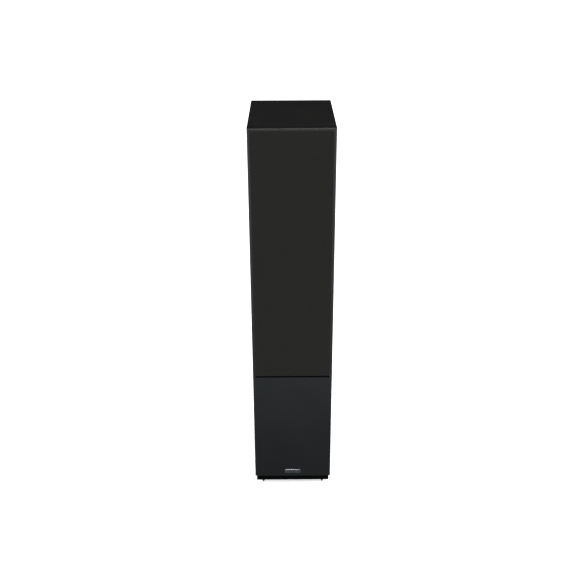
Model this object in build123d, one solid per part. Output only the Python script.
from build123d import *
import os
from math import cos, radians, sin, sqrt

# A three-way floorstanding loudspeaker: a wrapped MDF cabinet with a rounded front baffle, a pull-off
# cloth grille over the upper two thirds, a dome tweeter, a midrange and two woofers behind it, a
# reflex port and binding posts at the back, and a recessed plinth on four adjustable spikes.
#
# Sizes are in millimetres. +X is right, +Y is back and +Z is up, so the front faces -Y. The origin is
# on the floor, under the middle of the whole object's bounding box.

# ---------------------------------------------------------------- driving dimensions

# Cabinet
cabinet_width = 210
cabinet_height = 990
cabinet_depth = 300
board = 15                  # side, top, bottom and rear boards
baffle_board = 18
baffle_round = 5            # radius of the baffle's front edges
fold_round = 1.5            # radius of the wrapped cabinet's long folds
rear_recess = 2             # the rear board lies this far inside the back edge

# Base
spike_length = 19           # floor to the underside of the plinth
plinth_board = 15
plinth_side_inset = 4
plinth_end_inset = 5
plinth_round = 1
spike_side_inset = 22       # spike axis to the cabinet's side
spike_end_inset = 23        # spike axis to the cabinet's front or back
spike_tip_radius = 1
spike_shoulder_radius = 6
stud_radius = 4
stud_above_plinth = 8
nut_across_flats = 13
nut_height = 5
insert_radius = 6
insert_length = 13
insert_flange_radius = 8
insert_flange = 1.5

# Grille
grille_width = 196
grille_depth = 8            # how far the grille stands in front of the baffle
grille_top_border = 4.5     # bare baffle above the grille
grille_bottom = 332         # the grille's lower edge above the cabinet's underside
grille_rail = 10
grille_round = 2
cloth = 0.6
rib_width = 6
rib_depth = 3
peg_radius = 2.5
peg_length = 10
peg_inset = 6               # peg axis to the grille's long edge
peg_end_inset = 40          # end pegs to the grille's top and bottom edges
pegs_per_side = 3
socket_radius = 4
socket_length = 12
socket_lip_radius = 4.9
socket_lip = 1

# Drivers
driver_gap = 3              # bare baffle between two neighbouring drivers
flange_radius = 84
flange = 6
flange_ledge = 11           # the flange overlaps the baffle's cut-out by this much
screw_inset = 5.5           # screw axis to the flange's edge
screws_per_driver = 4
screw_shank_radius = 2
screw_length = 14
screw_head_radius = 3.8
screw_head = 2.4
screw_socket_radius = 1.6
screw_socket_depth = 1.3

# Basket, motor and moving parts of a cone driver
surround_seat = 4           # depth of the ledge that the surround is glued to
surround_inset = 1          # surround's edge to the basket's outside
surround_lip = 3
surround_roll = 11          # width of the half roll
surround_skin = 0.8
cone_skin = 1
cone_depth = 27.5
cone_curve = 2              # how far the cone's side bulges
coil_radius = 15            # inside of the former
former_wall = 0.4
winding_wall = 0.8
winding_length = 14
voice_coil_gap = 0.5
basket_wall = 2.5
basket_depth = 49.5
basket_back_radius = 48
basket_windows = 6
basket_window_width = 38
spider_depth = 38
spider_radius = 42
spider_seat = 4
spider_skin = 0.6
spider_wave = 1.4
spider_half_waves = 8
front_plate = 6
front_plate_radius = 44
magnet_radius = 45
magnet_bore_radius = 24
magnet_height = 16
back_plate = 6
pole_vent_radius = 5
dust_cap_radius = 26
dust_cap_rise = 8
dust_cap_skin = 0.8
tag_radius = 52             # solder tags, from the driver's axis
tag_width = 12

# Tweeter
tweeter_radius = 50
tweeter_plate = 4
tweeter_boss = 7            # depth of the faceplate's middle
tweeter_boss_radius = 36
tweeter_cutout_radius = 37.5
tweeter_horn_radius = 30
tweeter_throat_radius = 16.5
tweeter_throat_depth = 4.5
tweeter_screw_circle_radius = 43.5
tweeter_surround_radius = 20
tweeter_surround_skin = 0.6
dome_radius = 12.6
dome_rise = 5.5
dome_skin = 0.5
tweeter_former_wall = 0.2
tweeter_winding_wall = 0.5
tweeter_coil_gap = 0.4
tweeter_coil_length = 5
tweeter_front_plate = 3
tweeter_plate_radius = 34
tweeter_magnet_radius = 36
tweeter_magnet_bore_radius = 20
tweeter_magnet_height = 8
tweeter_back_plate = 4

# Inside the cabinet
inner_board = 12            # braces and the midrange chamber
chamber_depth = 150
brace_bar = 20
brace_end_bar = 25
brace_window_round = 12
wadding = 25
board_standoff = 6
crossover_width = 150
crossover_depth = 120
crossover_board_thickness = 1.6
standoff_radius = 4
wire_radius = 1.2
wire_spacing = 3.2
wire_bend = 22
wire_hole_radius = 5

# Rear fittings
port_radius = 27
port_wall = 2.5
port_length = 120
port_flare = 12
port_flange_radius = 50
port_flange = 3
port_screw_circle_radius = 46
terminal_width = 84
terminal_height = 96
terminal_plate = 3
terminal_round = 6
terminal_cutout = 56
terminal_screw_inset = 8
terminal_above_base = 110   # middle of the terminal plate above the cabinet's underside
post_spacing = 19           # spacing of a twin banana plug
stem_radius = 4
stem_inside = 20
stem_nut_radius = 6.5
stem_nut = 4
banana_radius = 2.05
banana_depth = 19
cross_hole_radius = 1.5
bush_radius = 7.5
bush = 3
collar_radius = 6.5
collar = 2
knob_radius = 7
knob_length = 18
knob_flutes = 12
knob_flute_radius = 1.1
knob_round = 1
stem_recess = 1             # the stem ends this far inside the knob

# Badge
badge_width = 44
badge_height = 14
badge_thick = 1.2
badge_round = 1.5
badge_bevel = 0.4
badge_above_base = 17.5

# Clearances
glue_gap = 0.1              # round faces that are glued or pressed together
seat_clearance = 0.3        # a flange in its rebate
running_clearance = 0.3     # round faces of pieces that move past each other
screw_clearance = 0.2

# ---------------------------------------------------------------- places worked out from them

post_reach = terminal_plate + bush + collar + knob_length
overall_depth = grille_depth + cabinet_depth - rear_recess + post_reach
front_y = grille_depth - overall_depth / 2
baffle_back_y = front_y + baffle_board
back_y = front_y + cabinet_depth
rear_y = back_y - rear_recess
rear_inner_y = rear_y - board
middle_y = (front_y + back_y) / 2

half_width = cabinet_width / 2
inner_width = cabinet_width - 2 * board
base_z = spike_length + plinth_board
top_z = base_z + cabinet_height
inner_base_z = base_z + board
inner_top_z = top_z - board

grille_top_z = top_z - grille_top_border
grille_low_z = base_z + grille_bottom
grille_height = grille_top_z - grille_low_z
grille_z = (grille_top_z + grille_low_z) / 2

tweeter_z = grille_top_z - grille_rail - driver_gap - tweeter_radius
midrange_z = tweeter_z - tweeter_radius - driver_gap - flange_radius
upper_woofer_z = midrange_z - 2 * flange_radius - driver_gap
lower_woofer_z = upper_woofer_z - 2 * flange_radius - driver_gap
cone_drivers = {"midrange": midrange_z, "upper_woofer": upper_woofer_z, "lower_woofer": lower_woofer_z}

# Heights of the bare strips between the drivers, where braces and grille ribs lie.
above_midrange_z = midrange_z + flange_radius + driver_gap / 2
above_upper_woofer_z = upper_woofer_z + flange_radius + driver_gap / 2
above_lower_woofer_z = lower_woofer_z + flange_radius + driver_gap / 2
below_lower_woofer_z = lower_woofer_z - flange_radius - driver_gap / 2

terminal_z = base_z + terminal_above_base
terminal_top_z = terminal_z + terminal_height / 2
low_brace_z = (terminal_top_z + below_lower_woofer_z) / 2 - 2 * board

spike_x = half_width - spike_side_inset
spike_ys = {"front": front_y + spike_end_inset, "rear": back_y - spike_end_inset}
spike_xs = {"left": -spike_x, "right": spike_x}
spike_places = {f"{end}_{side}": (x, y) for end, y in spike_ys.items() for side, x in spike_xs.items()}
post_xs = {"red": post_spacing / 2, "black": -post_spacing / 2}

peg_x = grille_width / 2 - peg_inset
peg_step = (grille_height - 2 * peg_end_inset) / (pegs_per_side - 1)
peg_places = [
    (side * peg_x, grille_low_z + peg_end_inset + row * peg_step)
    for side in (-1, 1)
    for row in range(pegs_per_side)
]

cutout_radius = flange_radius - flange_ledge
screw_circle_radius = flange_radius - screw_inset
surround_edge_radius = cutout_radius - surround_inset

# The surround's roll lies between these two radii.
roll_outer_radius = surround_edge_radius - surround_lip
roll_inner_radius = roll_outer_radius - surround_roll
cone_edge_radius = roll_inner_radius
neck_radius = coil_radius + former_wall + glue_gap
winding_radius = coil_radius + former_wall + winding_wall
cone_top = -surround_seat - glue_gap
motor_top = -basket_depth
magnet_top = motor_top - front_plate
back_plate_top = magnet_top - magnet_height
motor_back = back_plate_top - back_plate

tweeter_motor_top = -tweeter_boss - tweeter_surround_skin
tweeter_magnet_top = tweeter_motor_top - tweeter_front_plate
tweeter_back_top = tweeter_magnet_top - tweeter_magnet_height
tweeter_back = tweeter_back_top - tweeter_back_plate
tweeter_winding_radius = dome_radius + tweeter_former_wall + tweeter_winding_wall

# ---------------------------------------------------------------- helpers


def box(x0, x1, y0, y1, z0, z1):
    """A block between two corners."""
    block = Box(x1 - x0, y1 - y0, z1 - z0)
    return Pos((x0 + x1) / 2, (y0 + y1) / 2, (z0 + z1) / 2) * block


def disc(radius, z0, z1):
    """A round bar or hole on the local Z axis, between two heights."""
    return Pos(0, 0, (z0 + z1) / 2) * Cylinder(radius, z1 - z0)


def tube(outer, inner, z0, z1):
    return disc(outer, z0, z1) - disc(inner, z0, z1)


def at(points):
    """Turn (radius, height) pairs into points of the XZ plane."""
    return [(radius, 0, height) for radius, height in points]


def turned(*edges):
    """Revolve a closed outline about the local Z axis."""
    return revolve(make_face(edges), Axis.Z)


def line(*points):
    return Polyline(*at(points))


def arc(start, through, end):
    return ThreePointArc(*at([start, through, end]))


def on_baffle(x, z):
    """Local +Z comes out of the baffle's front face, and local +Y is up."""
    return Pos(x, front_y, z) * Rot(90, 0, 0)


def on_rear(x, z):
    """Local +Z comes out of the rear board's outer face."""
    return Pos(x, rear_y, z) * Rot(-90, 0, 0)


def circle_places(radius, count, start=45):
    """Places evenly spaced on a circle about the local Z axis."""
    return [Rot(0, 0, start + 360 * n / count) * Pos(radius, 0, 0) for n in range(count)]


# ---------------------------------------------------------------- cabinet


def wrapped_panels():
    """Four mitred boards, cut from one folded ring."""
    outer = Rectangle(cabinet_width, cabinet_height)
    ring = fillet(outer.vertices(), fold_round) - Rectangle(inner_width, cabinet_height - 2 * board)
    middle_z = (base_z + top_z) / 2
    length = back_y - baffle_back_y
    shell = Pos(0, back_y, middle_z) * Rot(90, 0, 0) * extrude(ring, length)
    half_height = cabinet_height / 2
    w, h = half_width, half_height
    corners = {
        "left_side_panel": [(-w, -h), (-w + board, -h + board), (-w + board, h - board), (-w, h)],
        "right_side_panel": [(w, -h), (w, h), (w - board, h - board), (w - board, -h + board)],
        "top_panel": [(-w, h), (-w + board, h - board), (w - board, h - board), (w, h)],
        "bottom_panel": [(-w, -h), (w, -h), (w - board, -h + board), (-w + board, -h + board)],
    }
    panels = {}
    for name, outline in corners.items():
        wedge = extrude(make_face(Polyline(*outline, close=True)), length)
        panels[name] = shell & (Pos(0, back_y, middle_z) * Rot(90, 0, 0) * wedge)
    for x, y in spike_places.values():
        hole = disc(stud_radius + 2 * running_clearance, base_z, base_z + stud_above_plinth + 2)
        panels["bottom_panel"] -= Pos(x, y, 0) * hole
    return panels


def front_baffle():
    plate = box(-half_width, half_width, front_y, baffle_back_y, base_z, top_z)
    plate = fillet(plate.faces().sort_by(Axis.Y)[0].edges(), baffle_round)
    rebate = disc(tweeter_radius + seat_clearance, -tweeter_plate, 1)
    cutout = disc(tweeter_cutout_radius, -baffle_board - 1, 0)
    plate -= on_baffle(0, tweeter_z) * (rebate + cutout)
    for z in cone_drivers.values():
        rebate = disc(flange_radius + seat_clearance, -flange, 1)
        cutout = disc(cutout_radius, -baffle_board - 1, 0)
        plate -= on_baffle(0, z) * (rebate + cutout)
    for place, seat in driver_screw_places():
        depth = seat - screw_length - screw_clearance
        plate -= place * disc(screw_shank_radius + screw_clearance, depth, 0)
    for x, z in peg_places:
        cup = disc(socket_radius + glue_gap, -socket_length - glue_gap, 0)
        lip = disc(socket_lip_radius + glue_gap, -socket_lip, 1)
        plate -= on_baffle(x, z) * (cup + lip)
    return plate


def rear_panel():
    half = inner_width / 2
    plate = box(-half, half, rear_inner_y, rear_y, inner_base_z, inner_top_z)
    plate -= on_rear(0, port_z) * disc(port_radius + port_flare + port_wall + glue_gap, -board, 0)
    half = terminal_cutout / 2
    plate -= box(-half, half, rear_inner_y, rear_y, terminal_z - half, terminal_z + half)
    for place in rear_screw_places():
        depth = rear_screw_seat - screw_length - screw_clearance
        plate -= place * disc(screw_shank_radius + screw_clearance, depth, 0)
    return plate


def window_brace(z):
    """A horizontal brace, glued in all round, with four windows for the air."""
    half = inner_width / 2
    depth = rear_inner_y - baffle_back_y
    brace = Rectangle(inner_width, depth)
    window_width = (inner_width - 3 * brace_bar) / 2
    window_depth = (depth - 3 * brace_end_bar) / 2
    for side in (-1, 1):
        for end in (-1, 1):
            x = side * (brace_bar + window_width) / 2
            y = end * (brace_end_bar + window_depth) / 2
            brace -= Pos(x, y) * RectangleRounded(window_width, window_depth, brace_window_round)
    middle = (rear_inner_y + baffle_back_y) / 2
    return Pos(0, middle, z - inner_board / 2) * extrude(brace, inner_board)


def midrange_chamber():
    """Two shelves and a back that close the midrange off from the woofers."""
    half = inner_width / 2
    low_z = above_upper_woofer_z - inner_board / 2
    high_z = above_midrange_z + inner_board / 2
    back = baffle_back_y + chamber_depth
    block = box(-half, half, baffle_back_y, back + inner_board, low_z, high_z)
    inside = (low_z + inner_board, high_z - inner_board)
    block -= box(-half, half, baffle_back_y, back, *inside)
    hole = Rot(-90, 0, 0) * disc(wire_hole_radius, 0, 2 * inner_board)
    x, z = tag_place("midrange")
    return block - Pos(x, back - inner_board / 2, z) * hole


def damping_wadding():
    """Side linings of the bays, and a pad on the back of the midrange chamber."""
    gap = 2
    bays = [
        (low_brace_z, below_lower_woofer_z),
        (below_lower_woofer_z, above_lower_woofer_z),
        (above_lower_woofer_z, above_upper_woofer_z),
    ]
    front = front_y - motor_back + wadding / 2
    sheets = []
    for low, high in bays:
        z0 = low + inner_board / 2 + gap
        z1 = high - inner_board / 2 - gap
        for side in (-1, 1):
            outer = side * inner_width / 2
            inner = outer - side * wadding
            sheets.append(box(min(outer, inner), max(outer, inner), front, rear_inner_y - gap, z0, z1))
    back = baffle_back_y + chamber_depth
    half = inner_width / 2 - gap
    z0 = above_upper_woofer_z + inner_board / 2 + gap
    pad = box(-half, half, back - wadding, back, z0, above_midrange_z - inner_board / 2 - gap)
    x, z = tag_place("midrange")
    pad -= Pos(x, back - 1.5 * wadding, z) * Rot(-90, 0, 0) * disc(wire_hole_radius, 0, 2 * wadding)
    return sheets + [pad]


# ---------------------------------------------------------------- base


def plinth():
    half = half_width - plinth_side_inset
    y0 = front_y + plinth_end_inset
    y1 = back_y - plinth_end_inset
    plate = box(-half, half, y0, y1, spike_length, base_z)
    plate = fillet(plate.edges().filter_by(Axis.Z), plinth_round)
    for x, y in spike_places.values():
        plate -= Pos(x, y, 0) * disc(insert_radius + glue_gap, spike_length, base_z)
    return plate


def spike_insert():
    top = spike_length + insert_length
    body = disc(insert_radius, spike_length, top)
    body += disc(insert_flange_radius, spike_length - insert_flange, spike_length)
    return body - disc(stud_radius + running_clearance, 0, base_z)


def spike():
    """A turned spike with its threaded stud, and the lock nut above its shoulder."""
    nut_top = spike_length - insert_flange
    nut_low = nut_top - nut_height
    point = turned(
        line((0, 0), (spike_tip_radius, 0), (spike_shoulder_radius, nut_low - 2)),
        line((spike_shoulder_radius, nut_low - 2), (spike_shoulder_radius, nut_low), (0, nut_low), (0, 0)),
    )
    stud = disc(stud_radius, nut_low, base_z + stud_above_plinth)
    hexagon = RegularPolygon(nut_across_flats / 2, 6, major_radius=False)
    nut = Pos(0, 0, nut_low) * extrude(hexagon, nut_height)
    nut -= disc(stud_radius + glue_gap, nut_low, nut_top)
    return [point + stud, nut]


# ---------------------------------------------------------------- grille


def grille_frame():
    """A moulded frame with cross ribs, and pegs that push into the baffle."""
    outer_width = grille_width - 2 * cloth
    outer_height = grille_height - 2 * cloth
    depth = grille_depth - cloth
    window = (outer_width - 2 * grille_rail, outer_height - 2 * grille_rail)
    outline = RectangleRounded(outer_width, outer_height, grille_round)
    frame = on_baffle(0, grille_z) * extrude(outline - Rectangle(*window), depth)
    half = window[0] / 2
    for z in (above_midrange_z, above_upper_woofer_z, above_lower_woofer_z):
        rib = (z - rib_width / 2, z + rib_width / 2)
        frame += box(-half, half, front_y - rib_depth, front_y, *rib)
    for x, z in peg_places:
        frame += on_baffle(x, z) * disc(peg_radius, -peg_length, 0)
    return frame


def grille_cloth():
    """Cloth stretched over the frame's whole front."""
    outline = RectangleRounded(grille_width, grille_height, grille_round + cloth)
    return on_baffle(0, grille_z) * Pos(0, 0, grille_depth - cloth) * extrude(outline, cloth)


def grille_socket():
    cup = disc(socket_radius, -socket_length, 0) + disc(socket_lip_radius, -socket_lip, 0)
    return cup - disc(peg_radius + running_clearance, 1 - socket_length, 0)


# ---------------------------------------------------------------- cone drivers


def tag_place(name):
    """The driver's solder tags, beside the motor: x, and the height in the cabinet."""
    x = wire_xs[name]
    return x, cone_drivers[name] - sqrt(tag_radius**2 - x**2)


def basket(name):
    """A cast frame: flange, windowed cone, spider seat and the plate that the motor hangs on."""
    run = basket_back_radius - cutout_radius + seat_clearance
    slope = -run / (basket_depth - flange - basket_wall)

    def wall_outside(height):
        return cutout_radius - seat_clearance + slope * (height + flange)

    def wall_inside(height):
        return wall_outside(height) - basket_wall * sqrt(1 + slope**2)

    ledge_radius = roll_outer_radius - 2
    seat_top = -spider_depth - spider_skin - glue_gap
    seat_low = seat_top - 2
    plate_top = motor_top + basket_wall
    seat_radius = spider_radius - spider_seat
    edge = surround_edge_radius + seat_clearance
    frame = turned(
        line(
            (flange_radius, 0),
            (flange_radius, -flange),
            (wall_outside(-flange), -flange),
            (wall_outside(plate_top), plate_top),
            (wall_outside(plate_top), motor_top),
            (winding_radius + 2, motor_top),
            (winding_radius + 2, plate_top),
            (spider_radius, plate_top),
            (spider_radius, seat_low),
            (seat_radius, seat_low),
            (seat_radius, seat_top),
            (wall_inside(seat_top), seat_top),
            (wall_inside(-flange), -flange),
            (ledge_radius, -flange),
            (ledge_radius, -surround_seat),
            (edge, -surround_seat),
            (edge, 0),
            (flange_radius, 0),
        )
    )
    window_top = -flange - basket_wall
    window_low = seat_top + basket_wall
    half = basket_window_width / 2
    window = box(spider_radius, flange_radius, -half, half, window_low, window_top)
    for n in range(basket_windows):
        frame -= Rot(0, 0, 360 * n / basket_windows) * window
    for place in circle_places(screw_circle_radius, screws_per_driver):
        frame -= place * disc(screw_shank_radius + screw_clearance, -flange, 0)
        frame -= place * disc(screw_head_radius + screw_clearance, -screw_head - screw_clearance, 0)
    x = wire_xs[name]
    y = -sqrt(tag_radius**2 - x**2)
    tag = box(-tag_width / 2, tag_width / 2, -tag_width / 2, tag_width / 2, motor_top, plate_top)
    bridge = box(0, tag_radius, -tag_width / 4, tag_width / 4, motor_top, plate_top)
    bridge -= disc(basket_back_radius - tag_width, motor_top, plate_top)
    turn = Vector(x, y, 0).get_signed_angle(Vector(1, 0, 0), Vector(0, 0, -1))
    return frame + Rot(0, 0, turn) * bridge + Pos(x, y, 0) * tag


def front_plate_and_yoke():
    plate = tube(front_plate_radius, winding_radius + voice_coil_gap, magnet_top, motor_top)
    yoke = disc(front_plate_radius, motor_back, back_plate_top)
    yoke += disc(coil_radius - voice_coil_gap, back_plate_top, motor_top)
    return [plate, yoke - disc(pole_vent_radius, motor_back, motor_top)]


def magnet():
    return tube(magnet_radius, magnet_bore_radius, back_plate_top, magnet_top)


def surround():
    """A rubber half roll with a glued lip on each side."""
    low = -surround_seat
    high = low + surround_skin
    middle = (roll_outer_radius + roll_inner_radius) / 2
    rise = surround_roll / 2
    foot = sqrt(rise**2 - surround_skin**2)
    inner_rise = rise - surround_skin
    return turned(
        line((middle + foot, high), (surround_edge_radius, high), (surround_edge_radius, low)),
        line((surround_edge_radius, low), (middle + inner_rise, low)),
        arc((middle + inner_rise, low), (middle, low + inner_rise), (middle - inner_rise, low)),
        line((middle - inner_rise, low), (roll_inner_radius - surround_lip, low)),
        line((roll_inner_radius - surround_lip, low), (roll_inner_radius - surround_lip, high)),
        line((roll_inner_radius - surround_lip, high), (middle - foot, high)),
        arc((middle - foot, high), (middle, low + rise), (middle + foot, high)),
    )


def cone():
    """A curved paper cone with a flat rim for the surround and a neck round the former."""
    rim = cone_edge_radius - surround_lip
    low = cone_top - cone_depth
    half_radius = (rim + neck_radius) / 2
    half_height = cone_top - cone_depth / 2
    return turned(
        line((neck_radius, low - cone_skin), (neck_radius, low)),
        arc((neck_radius, low), (half_radius, half_height + cone_curve), (rim, cone_top)),
        line((rim, cone_top), (cone_edge_radius, cone_top), (cone_edge_radius, cone_top - cone_skin)),
        line((cone_edge_radius, cone_top - cone_skin), (rim, cone_top - cone_skin)),
        arc(
            (rim, cone_top - cone_skin),
            (half_radius, half_height + cone_curve - cone_skin),
            (neck_radius, low - cone_skin),
        ),
    )


def domed_skin(radius, rise, skin, height):
    """A spherical cap of even thickness, standing on its rim at this height."""
    sphere = (radius**2 + rise**2) / (2 * rise)
    centre = height + rise - sphere
    inner = sphere - skin
    inner_radius = sqrt(inner**2 - (height - centre) ** 2)

    def halfway(distance, edge):
        across = edge / 2
        return across, centre + sqrt(distance**2 - across**2)

    return turned(
        arc((0, height + rise), halfway(sphere, radius), (radius, height)),
        line((radius, height), (inner_radius, height)),
        arc((inner_radius, height), halfway(inner, inner_radius), (0, centre + inner)),
        line((0, centre + inner), (0, height + rise)),
    )


def cone_front(radius):
    """Height of the cone's curved front face at this radius."""
    rim = cone_edge_radius - surround_lip
    share = (radius - neck_radius) / (rim - neck_radius)
    return cone_top - cone_depth * (1 - share) + 4 * cone_curve * share * (1 - share)


def dust_cap():
    return domed_skin(dust_cap_radius, dust_cap_rise, dust_cap_skin, cone_front(dust_cap_radius) + glue_gap)


def voice_coil():
    """A former from the cone's neck into the motor, with its winding centred on the front plate."""
    middle = motor_top - front_plate / 2
    low = middle - winding_length / 2
    former_top = cone_top - cone_depth + 2
    former = tube(coil_radius + former_wall, coil_radius, low, former_top)
    winding = tube(winding_radius, coil_radius + former_wall, low, low + winding_length)
    return former + winding


def spider():
    """A corrugated ring between the former and the basket."""
    inner = neck_radius
    outer = spider_radius - spider_seat
    step = (outer - inner) / spider_half_waves
    height = -spider_depth
    wave = [
        (inner + step * n, height + spider_wave * sin(radians(90 * n)))
        for n in range(2 * spider_half_waves + 1)
        if inner + step * n <= outer + step / 4
    ]
    top = Spline(*at(wave))
    low = Spline(*at([(radius, z - spider_skin) for radius, z in wave]))
    end = wave[-1][0]
    return turned(
        top,
        line((end, wave[-1][1]), (spider_radius, height), (spider_radius, height - spider_skin)),
        line((spider_radius, height - spider_skin), (end, wave[-1][1] - spider_skin)),
        low,
        line((inner, wave[0][1] - spider_skin), (inner, wave[0][1])),
    )


# ---------------------------------------------------------------- tweeter


def tweeter_faceplate():
    """A round plate with a shallow horn, and a boss that clamps the surround."""
    deep = -tweeter_throat_depth
    half_radius = (tweeter_horn_radius + tweeter_throat_radius) / 2 - 1.5
    plate = turned(
        line(
            (tweeter_horn_radius, 0),
            (tweeter_radius, 0),
            (tweeter_radius, -tweeter_plate),
            (tweeter_boss_radius, -tweeter_plate),
            (tweeter_boss_radius, -tweeter_boss),
            (tweeter_throat_radius, -tweeter_boss),
            (tweeter_throat_radius, deep),
        ),
        arc((tweeter_throat_radius, deep), (half_radius, deep / 2 + 0.4), (tweeter_horn_radius, 0)),
    )
    for place in circle_places(tweeter_screw_circle_radius, screws_per_driver):
        plate -= place * disc(screw_shank_radius + screw_clearance, -tweeter_plate, 0)
        plate -= place * disc(screw_head_radius + screw_clearance, -screw_head - screw_clearance, 0)
    return plate


def tweeter_surround():
    low = -tweeter_boss - tweeter_surround_skin
    high = -tweeter_boss
    outer = tweeter_throat_radius - glue_gap
    inner = dome_radius + 2 * glue_gap + 0.8
    middle = (outer + inner) / 2
    rise = (outer - inner) / 2
    foot = rise - tweeter_surround_skin
    edge = tweeter_surround_radius
    lip = dome_radius + glue_gap
    return turned(
        line((outer, high), (edge, high), (edge, low), (middle + foot, low)),
        arc((middle + foot, low), (middle, low + foot), (middle - foot, low)),
        line((middle - foot, low), (lip, low), (lip, high), (inner, high)),
        arc((inner, high), (middle, high + rise), (outer, high)),
    )


def tweeter_voice_coil():
    top = -tweeter_boss - glue_gap
    middle = tweeter_motor_top - tweeter_front_plate / 2
    low = middle - tweeter_coil_length / 2
    outer = dome_radius - glue_gap
    former = tube(outer, outer - tweeter_former_wall, low, top)
    winding = tube(tweeter_winding_radius, outer, low, low + tweeter_coil_length - 1)
    return former + winding


def tweeter_steel():
    bore = tweeter_winding_radius + tweeter_coil_gap
    plate = tube(tweeter_plate_radius, bore, tweeter_magnet_top, tweeter_motor_top)
    pole = dome_radius - tweeter_former_wall - tweeter_coil_gap
    yoke = disc(tweeter_plate_radius, tweeter_back, tweeter_back_top)
    return [plate, yoke + disc(pole, tweeter_back_top, tweeter_motor_top)]


def tweeter_magnet():
    return tube(tweeter_magnet_radius, tweeter_magnet_bore_radius, tweeter_back_top, tweeter_magnet_top)


# ---------------------------------------------------------------- screws


def screw():
    """A socket-head wood screw whose head stands on local height 0."""
    head = disc(screw_head_radius, 0, screw_head)
    head = fillet(head.edges().filter_by(GeomType.CIRCLE).sort_by(Axis.Z)[-1], 0.6)
    hexagon = RegularPolygon(screw_socket_radius, 6)
    head -= Pos(0, 0, screw_head - screw_socket_depth) * extrude(hexagon, screw_socket_depth)
    return head + disc(screw_shank_radius, -screw_length, 0)


def driver_screw_places():
    """Every driver screw's axis on the baffle, with the height that its head sits at."""
    seat = -screw_head - screw_clearance
    places = []
    for place in circle_places(tweeter_screw_circle_radius, screws_per_driver):
        places.append((on_baffle(0, tweeter_z) * place, seat))
    for z in cone_drivers.values():
        for place in circle_places(screw_circle_radius, screws_per_driver):
            places.append((on_baffle(0, z) * place, seat))
    return places


def rear_screw_places():
    places = [on_rear(0, port_z) * place for place in circle_places(port_screw_circle_radius, 4)]
    x = terminal_width / 2 - terminal_screw_inset
    z = terminal_height / 2 - terminal_screw_inset
    for side in (-1, 1):
        for end in (-1, 1):
            places.append(on_rear(side * x, terminal_z + end * z))
    return places


def mounting_screws():
    screws = [place * Pos(0, 0, seat) * screw() for place, seat in driver_screw_places()]
    return screws + [place * Pos(0, 0, rear_screw_seat) * screw() for place in rear_screw_places()]


# ---------------------------------------------------------------- rear fittings


def reflex_port():
    """A flared tube with a round flange."""
    mouth = port_radius + port_flare
    outside = port_radius + port_wall
    bend = port_flare * (1 - cos(radians(45)))
    tube_end = port_flange - port_length
    port = turned(
        line(
            (mouth, port_flange),
            (port_flange_radius, port_flange),
            (port_flange_radius, 0),
            (outside + port_flare, 0),
        ),
        arc(
            (outside + port_flare, 0),
            (outside + bend, -bend),
            (outside, -port_flare),
        ),
        line((outside, -port_flare), (outside, tube_end), (port_radius, tube_end)),
        line((port_radius, tube_end), (port_radius, port_flange - port_flare)),
        arc(
            (port_radius, port_flange - port_flare),
            (port_radius + bend, port_flange - bend),
            (mouth, port_flange),
        ),
    )
    for place in circle_places(port_screw_circle_radius, 4):
        port -= place * disc(screw_shank_radius + screw_clearance, 0, port_flange)
    return port


def terminal():
    """A flat plate with a raised bush round each binding post."""
    outline = RectangleRounded(terminal_width, terminal_height, terminal_round)
    plate = extrude(outline, terminal_plate)
    for x in post_xs.values():
        plate += Pos(x, 0, 0) * disc(bush_radius, 0, terminal_plate + bush)
        plate -= Pos(x, 0, 0) * disc(stem_radius + glue_gap, 0, terminal_plate + bush)
    x = terminal_width / 2 - terminal_screw_inset
    y = terminal_height / 2 - terminal_screw_inset
    for side in (-1, 1):
        for end in (-1, 1):
            plate -= Pos(side * x, end * y, 0) * disc(screw_shank_radius + screw_clearance, 0, terminal_plate)
    return plate


def post_stem():
    """A plated stem with a banana bore, a cross hole for bare wire and a fixing nut inside."""
    top = post_reach - stem_recess
    stem = disc(stem_radius, -stem_inside, top)
    hexagon = RegularPolygon(stem_nut_radius, 6)
    stem += Pos(0, 0, -stem_nut) * extrude(hexagon, stem_nut)
    stem -= disc(banana_radius, top - banana_depth, top)
    cross = terminal_plate + bush + collar + cross_hole_radius
    hole = Rot(0, 90, 0) * disc(cross_hole_radius, -stem_radius - 1, stem_radius + 1)
    return stem - Pos(0, 0, cross) * hole


def post_collar():
    low = terminal_plate + bush
    return tube(collar_radius, stem_radius + running_clearance, low, low + collar)


def post_knob():
    """A fluted clamping knob, open at its end for the banana plug."""
    low = terminal_plate + bush + collar
    knob = disc(knob_radius, low, low + knob_length)
    knob = fillet(knob.edges().filter_by(GeomType.CIRCLE).sort_by(Axis.Z)[-1], knob_round)
    for place in circle_places(knob_radius + knob_flute_radius / 3, knob_flutes):
        knob -= place * disc(knob_flute_radius, low + collar, low + knob_length)
    return knob - disc(stem_radius + running_clearance, low, low + knob_length)


# ---------------------------------------------------------------- crossover and wiring


def crossover_board():
    """The board, and the four standoffs that it lies on."""
    x = crossover_width / 2
    y = crossover_depth / 2
    top = board_z + crossover_board_thickness
    plate = box(-x, x, middle_y - y, middle_y + y, board_z, top)
    pillar = disc(standoff_radius, inner_base_z, board_z)
    inset = 2 * standoff_radius
    places = [(side * (x - inset), middle_y + end * (y - inset)) for side in (-1, 1) for end in (-1, 1)]
    return [plate] + [Pos(px, py, 0) * pillar for px, py in places]


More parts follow.
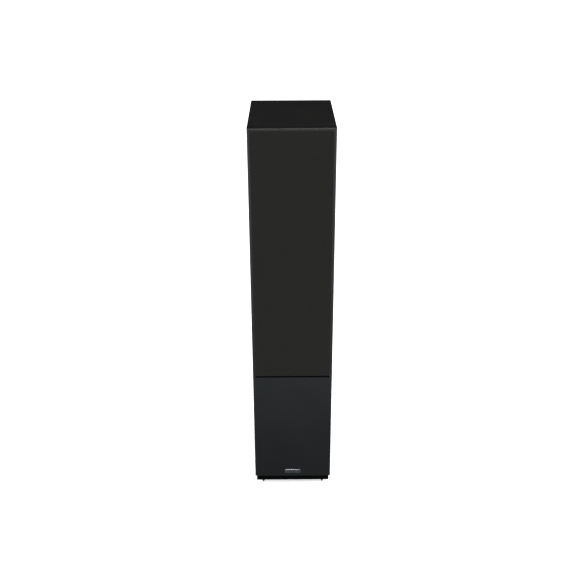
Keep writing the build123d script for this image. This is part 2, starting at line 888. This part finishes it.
def crossover_components():
    """Air-core coils, film capacitors and power resistors."""
    top = board_z + crossover_board_thickness
    coils = [(-48, -28, 22, 11, 20), (-48, 22, 18, 9, 16), (-4, -34, 14, 7, 13)]
    capacitors = [(40, -42, 11, 38), (40, -16, 9, 34), (0, 6, 7, 26)]
    resistors = [(38, 6, 26), (38, 20, 26), (-8, 28, 24)]
    resistor = 9
    solids = []
    for x, y, outer, inner, height in coils:
        solids.append(Pos(x, middle_y + y, 0) * tube(outer, inner, top, top + height))
    for x, y, radius, length in capacitors:
        can = Rot(0, 90, 0) * disc(radius, -length / 2, length / 2)
        solids.append(Pos(x, middle_y + y, top + radius + glue_gap) * can)
    for x, y, length in resistors:
        y0 = middle_y + y - resistor / 2
        solids.append(box(x - length / 2, x + length / 2, y0, y0 + resistor, top, top + resistor))
    return solids


def wire(points):
    path = FilletPolyline(*points, radius=wire_bend)
    section = Plane(origin=path @ 0, z_dir=path % 0) * Circle(wire_radius)
    return sweep(section, path)


def internal_wiring():
    """A pair of wires to each driver, and one from each binding post."""
    start = board_z + crossover_board_thickness + glue_gap
    solids = []
    for name in cone_drivers:
        x, z = tag_place(name)
        end = front_y + basket_depth + glue_gap
        for side in (-1, 1):
            wx = x + side * wire_spacing / 2
            solids.append(wire([(wx, wire_y, start), (wx, wire_y, z), (wx, end, z)]))
    x = wire_xs["tweeter"]
    end = front_y - tweeter_back + glue_gap
    for side in (-1, 1):
        wx = x + side * wire_spacing / 2
        inner = x / 3 + side * wire_spacing / 2
        middle = end + 2 * wire_bend
        points = [(wx, wire_y, start), (wx, wire_y, tweeter_z), (wx, middle + 3 * wire_bend, tweeter_z)]
        points += [(inner, middle, tweeter_z), (inner, end, tweeter_z)]
        solids.append(wire(points))
    for x in post_xs.values():
        inside = rear_y - stem_inside - glue_gap
        solids.append(wire([(x, inside, terminal_z), (x, wire_y, terminal_z), (x, wire_y, start)]))
    return solids


# ---------------------------------------------------------------- badge


def badge():
    outline = RectangleRounded(badge_width, badge_height, badge_round)
    plate = extrude(outline, badge_thick)
    plate = chamfer(plate.faces().sort_by(Axis.Z)[-1].edges(), badge_bevel)
    return on_baffle(0, base_z + badge_above_base) * plate


# ---------------------------------------------------------------- the assembly

port_z = upper_woofer_z
rear_screw_seat = port_flange
board_z = inner_base_z + board_standoff
wire_y = middle_y + crossover_depth / 2 - 2 * wire_spacing
wire_xs = {"midrange": 50, "upper_woofer": 30, "lower_woofer": -30, "tweeter": -50}

nodes = wrapped_panels()
nodes["front_baffle"] = front_baffle()
nodes["rear_panel"] = rear_panel()
brace_zs = (low_brace_z, below_lower_woofer_z, above_lower_woofer_z)
nodes["window_braces"] = [window_brace(z) for z in brace_zs]
nodes["midrange_chamber"] = midrange_chamber()
nodes["damping_wadding"] = damping_wadding()
nodes["plinth"] = plinth()
nodes["spike_inserts"] = [Pos(x, y, 0) * spike_insert() for x, y in spike_places.values()]
for name, (x, y) in spike_places.items():
    nodes[f"{name}_spike"] = [Pos(x, y, 0) * piece for piece in spike()]
nodes["badge_plate"] = badge()
nodes["grille_frame"] = grille_frame()
nodes["grille_cloth"] = grille_cloth()
nodes["grille_sockets"] = [on_baffle(x, z) * grille_socket() for x, z in peg_places]

for name, z in cone_drivers.items():
    place = on_baffle(0, z)
    nodes[f"{name}_basket"] = place * basket(name)
    nodes[f"{name}_magnet"] = place * magnet()
    nodes[f"{name}_motor_steel"] = [place * piece for piece in front_plate_and_yoke()]
    nodes[f"{name}_surround"] = place * surround()
    nodes[f"{name}_spider"] = place * spider()
    nodes[f"{name}_cone"] = place * cone()
    nodes[f"{name}_dust_cap"] = place * dust_cap()
    nodes[f"{name}_voice_coil"] = place * voice_coil()

place = on_baffle(0, tweeter_z)
nodes["tweeter_faceplate"] = place * tweeter_faceplate()
nodes["tweeter_magnet"] = place * tweeter_magnet()
nodes["tweeter_motor_steel"] = [place * piece for piece in tweeter_steel()]
nodes["tweeter_surround"] = place * tweeter_surround()
nodes["tweeter_dome"] = place * domed_skin(dome_radius, dome_rise, dome_skin, -tweeter_boss)
nodes["tweeter_voice_coil"] = place * tweeter_voice_coil()

nodes["mounting_screws"] = mounting_screws()
nodes["reflex_port"] = on_rear(0, port_z) * reflex_port()
nodes["terminal_plate"] = on_rear(0, terminal_z) * terminal()
nodes["binding_post_stems"] = [on_rear(x, terminal_z) * post_stem() for x in post_xs.values()]
for colour, x in post_xs.items():
    nodes[f"{colour}_post_collar"] = on_rear(x, terminal_z) * post_collar()
    nodes[f"{colour}_post_knob"] = on_rear(x, terminal_z) * post_knob()
nodes["crossover_board"] = crossover_board()
nodes["crossover_components"] = crossover_components()
nodes["internal_wiring"] = internal_wiring()

os.makedirs("parts", exist_ok=True)
for name, shape in nodes.items():
    if isinstance(shape, list):
        shape = Compound([piece.solid() for piece in shape])
    export_step(shape, f"parts/{name}.step")
print(len(nodes), "nodes")
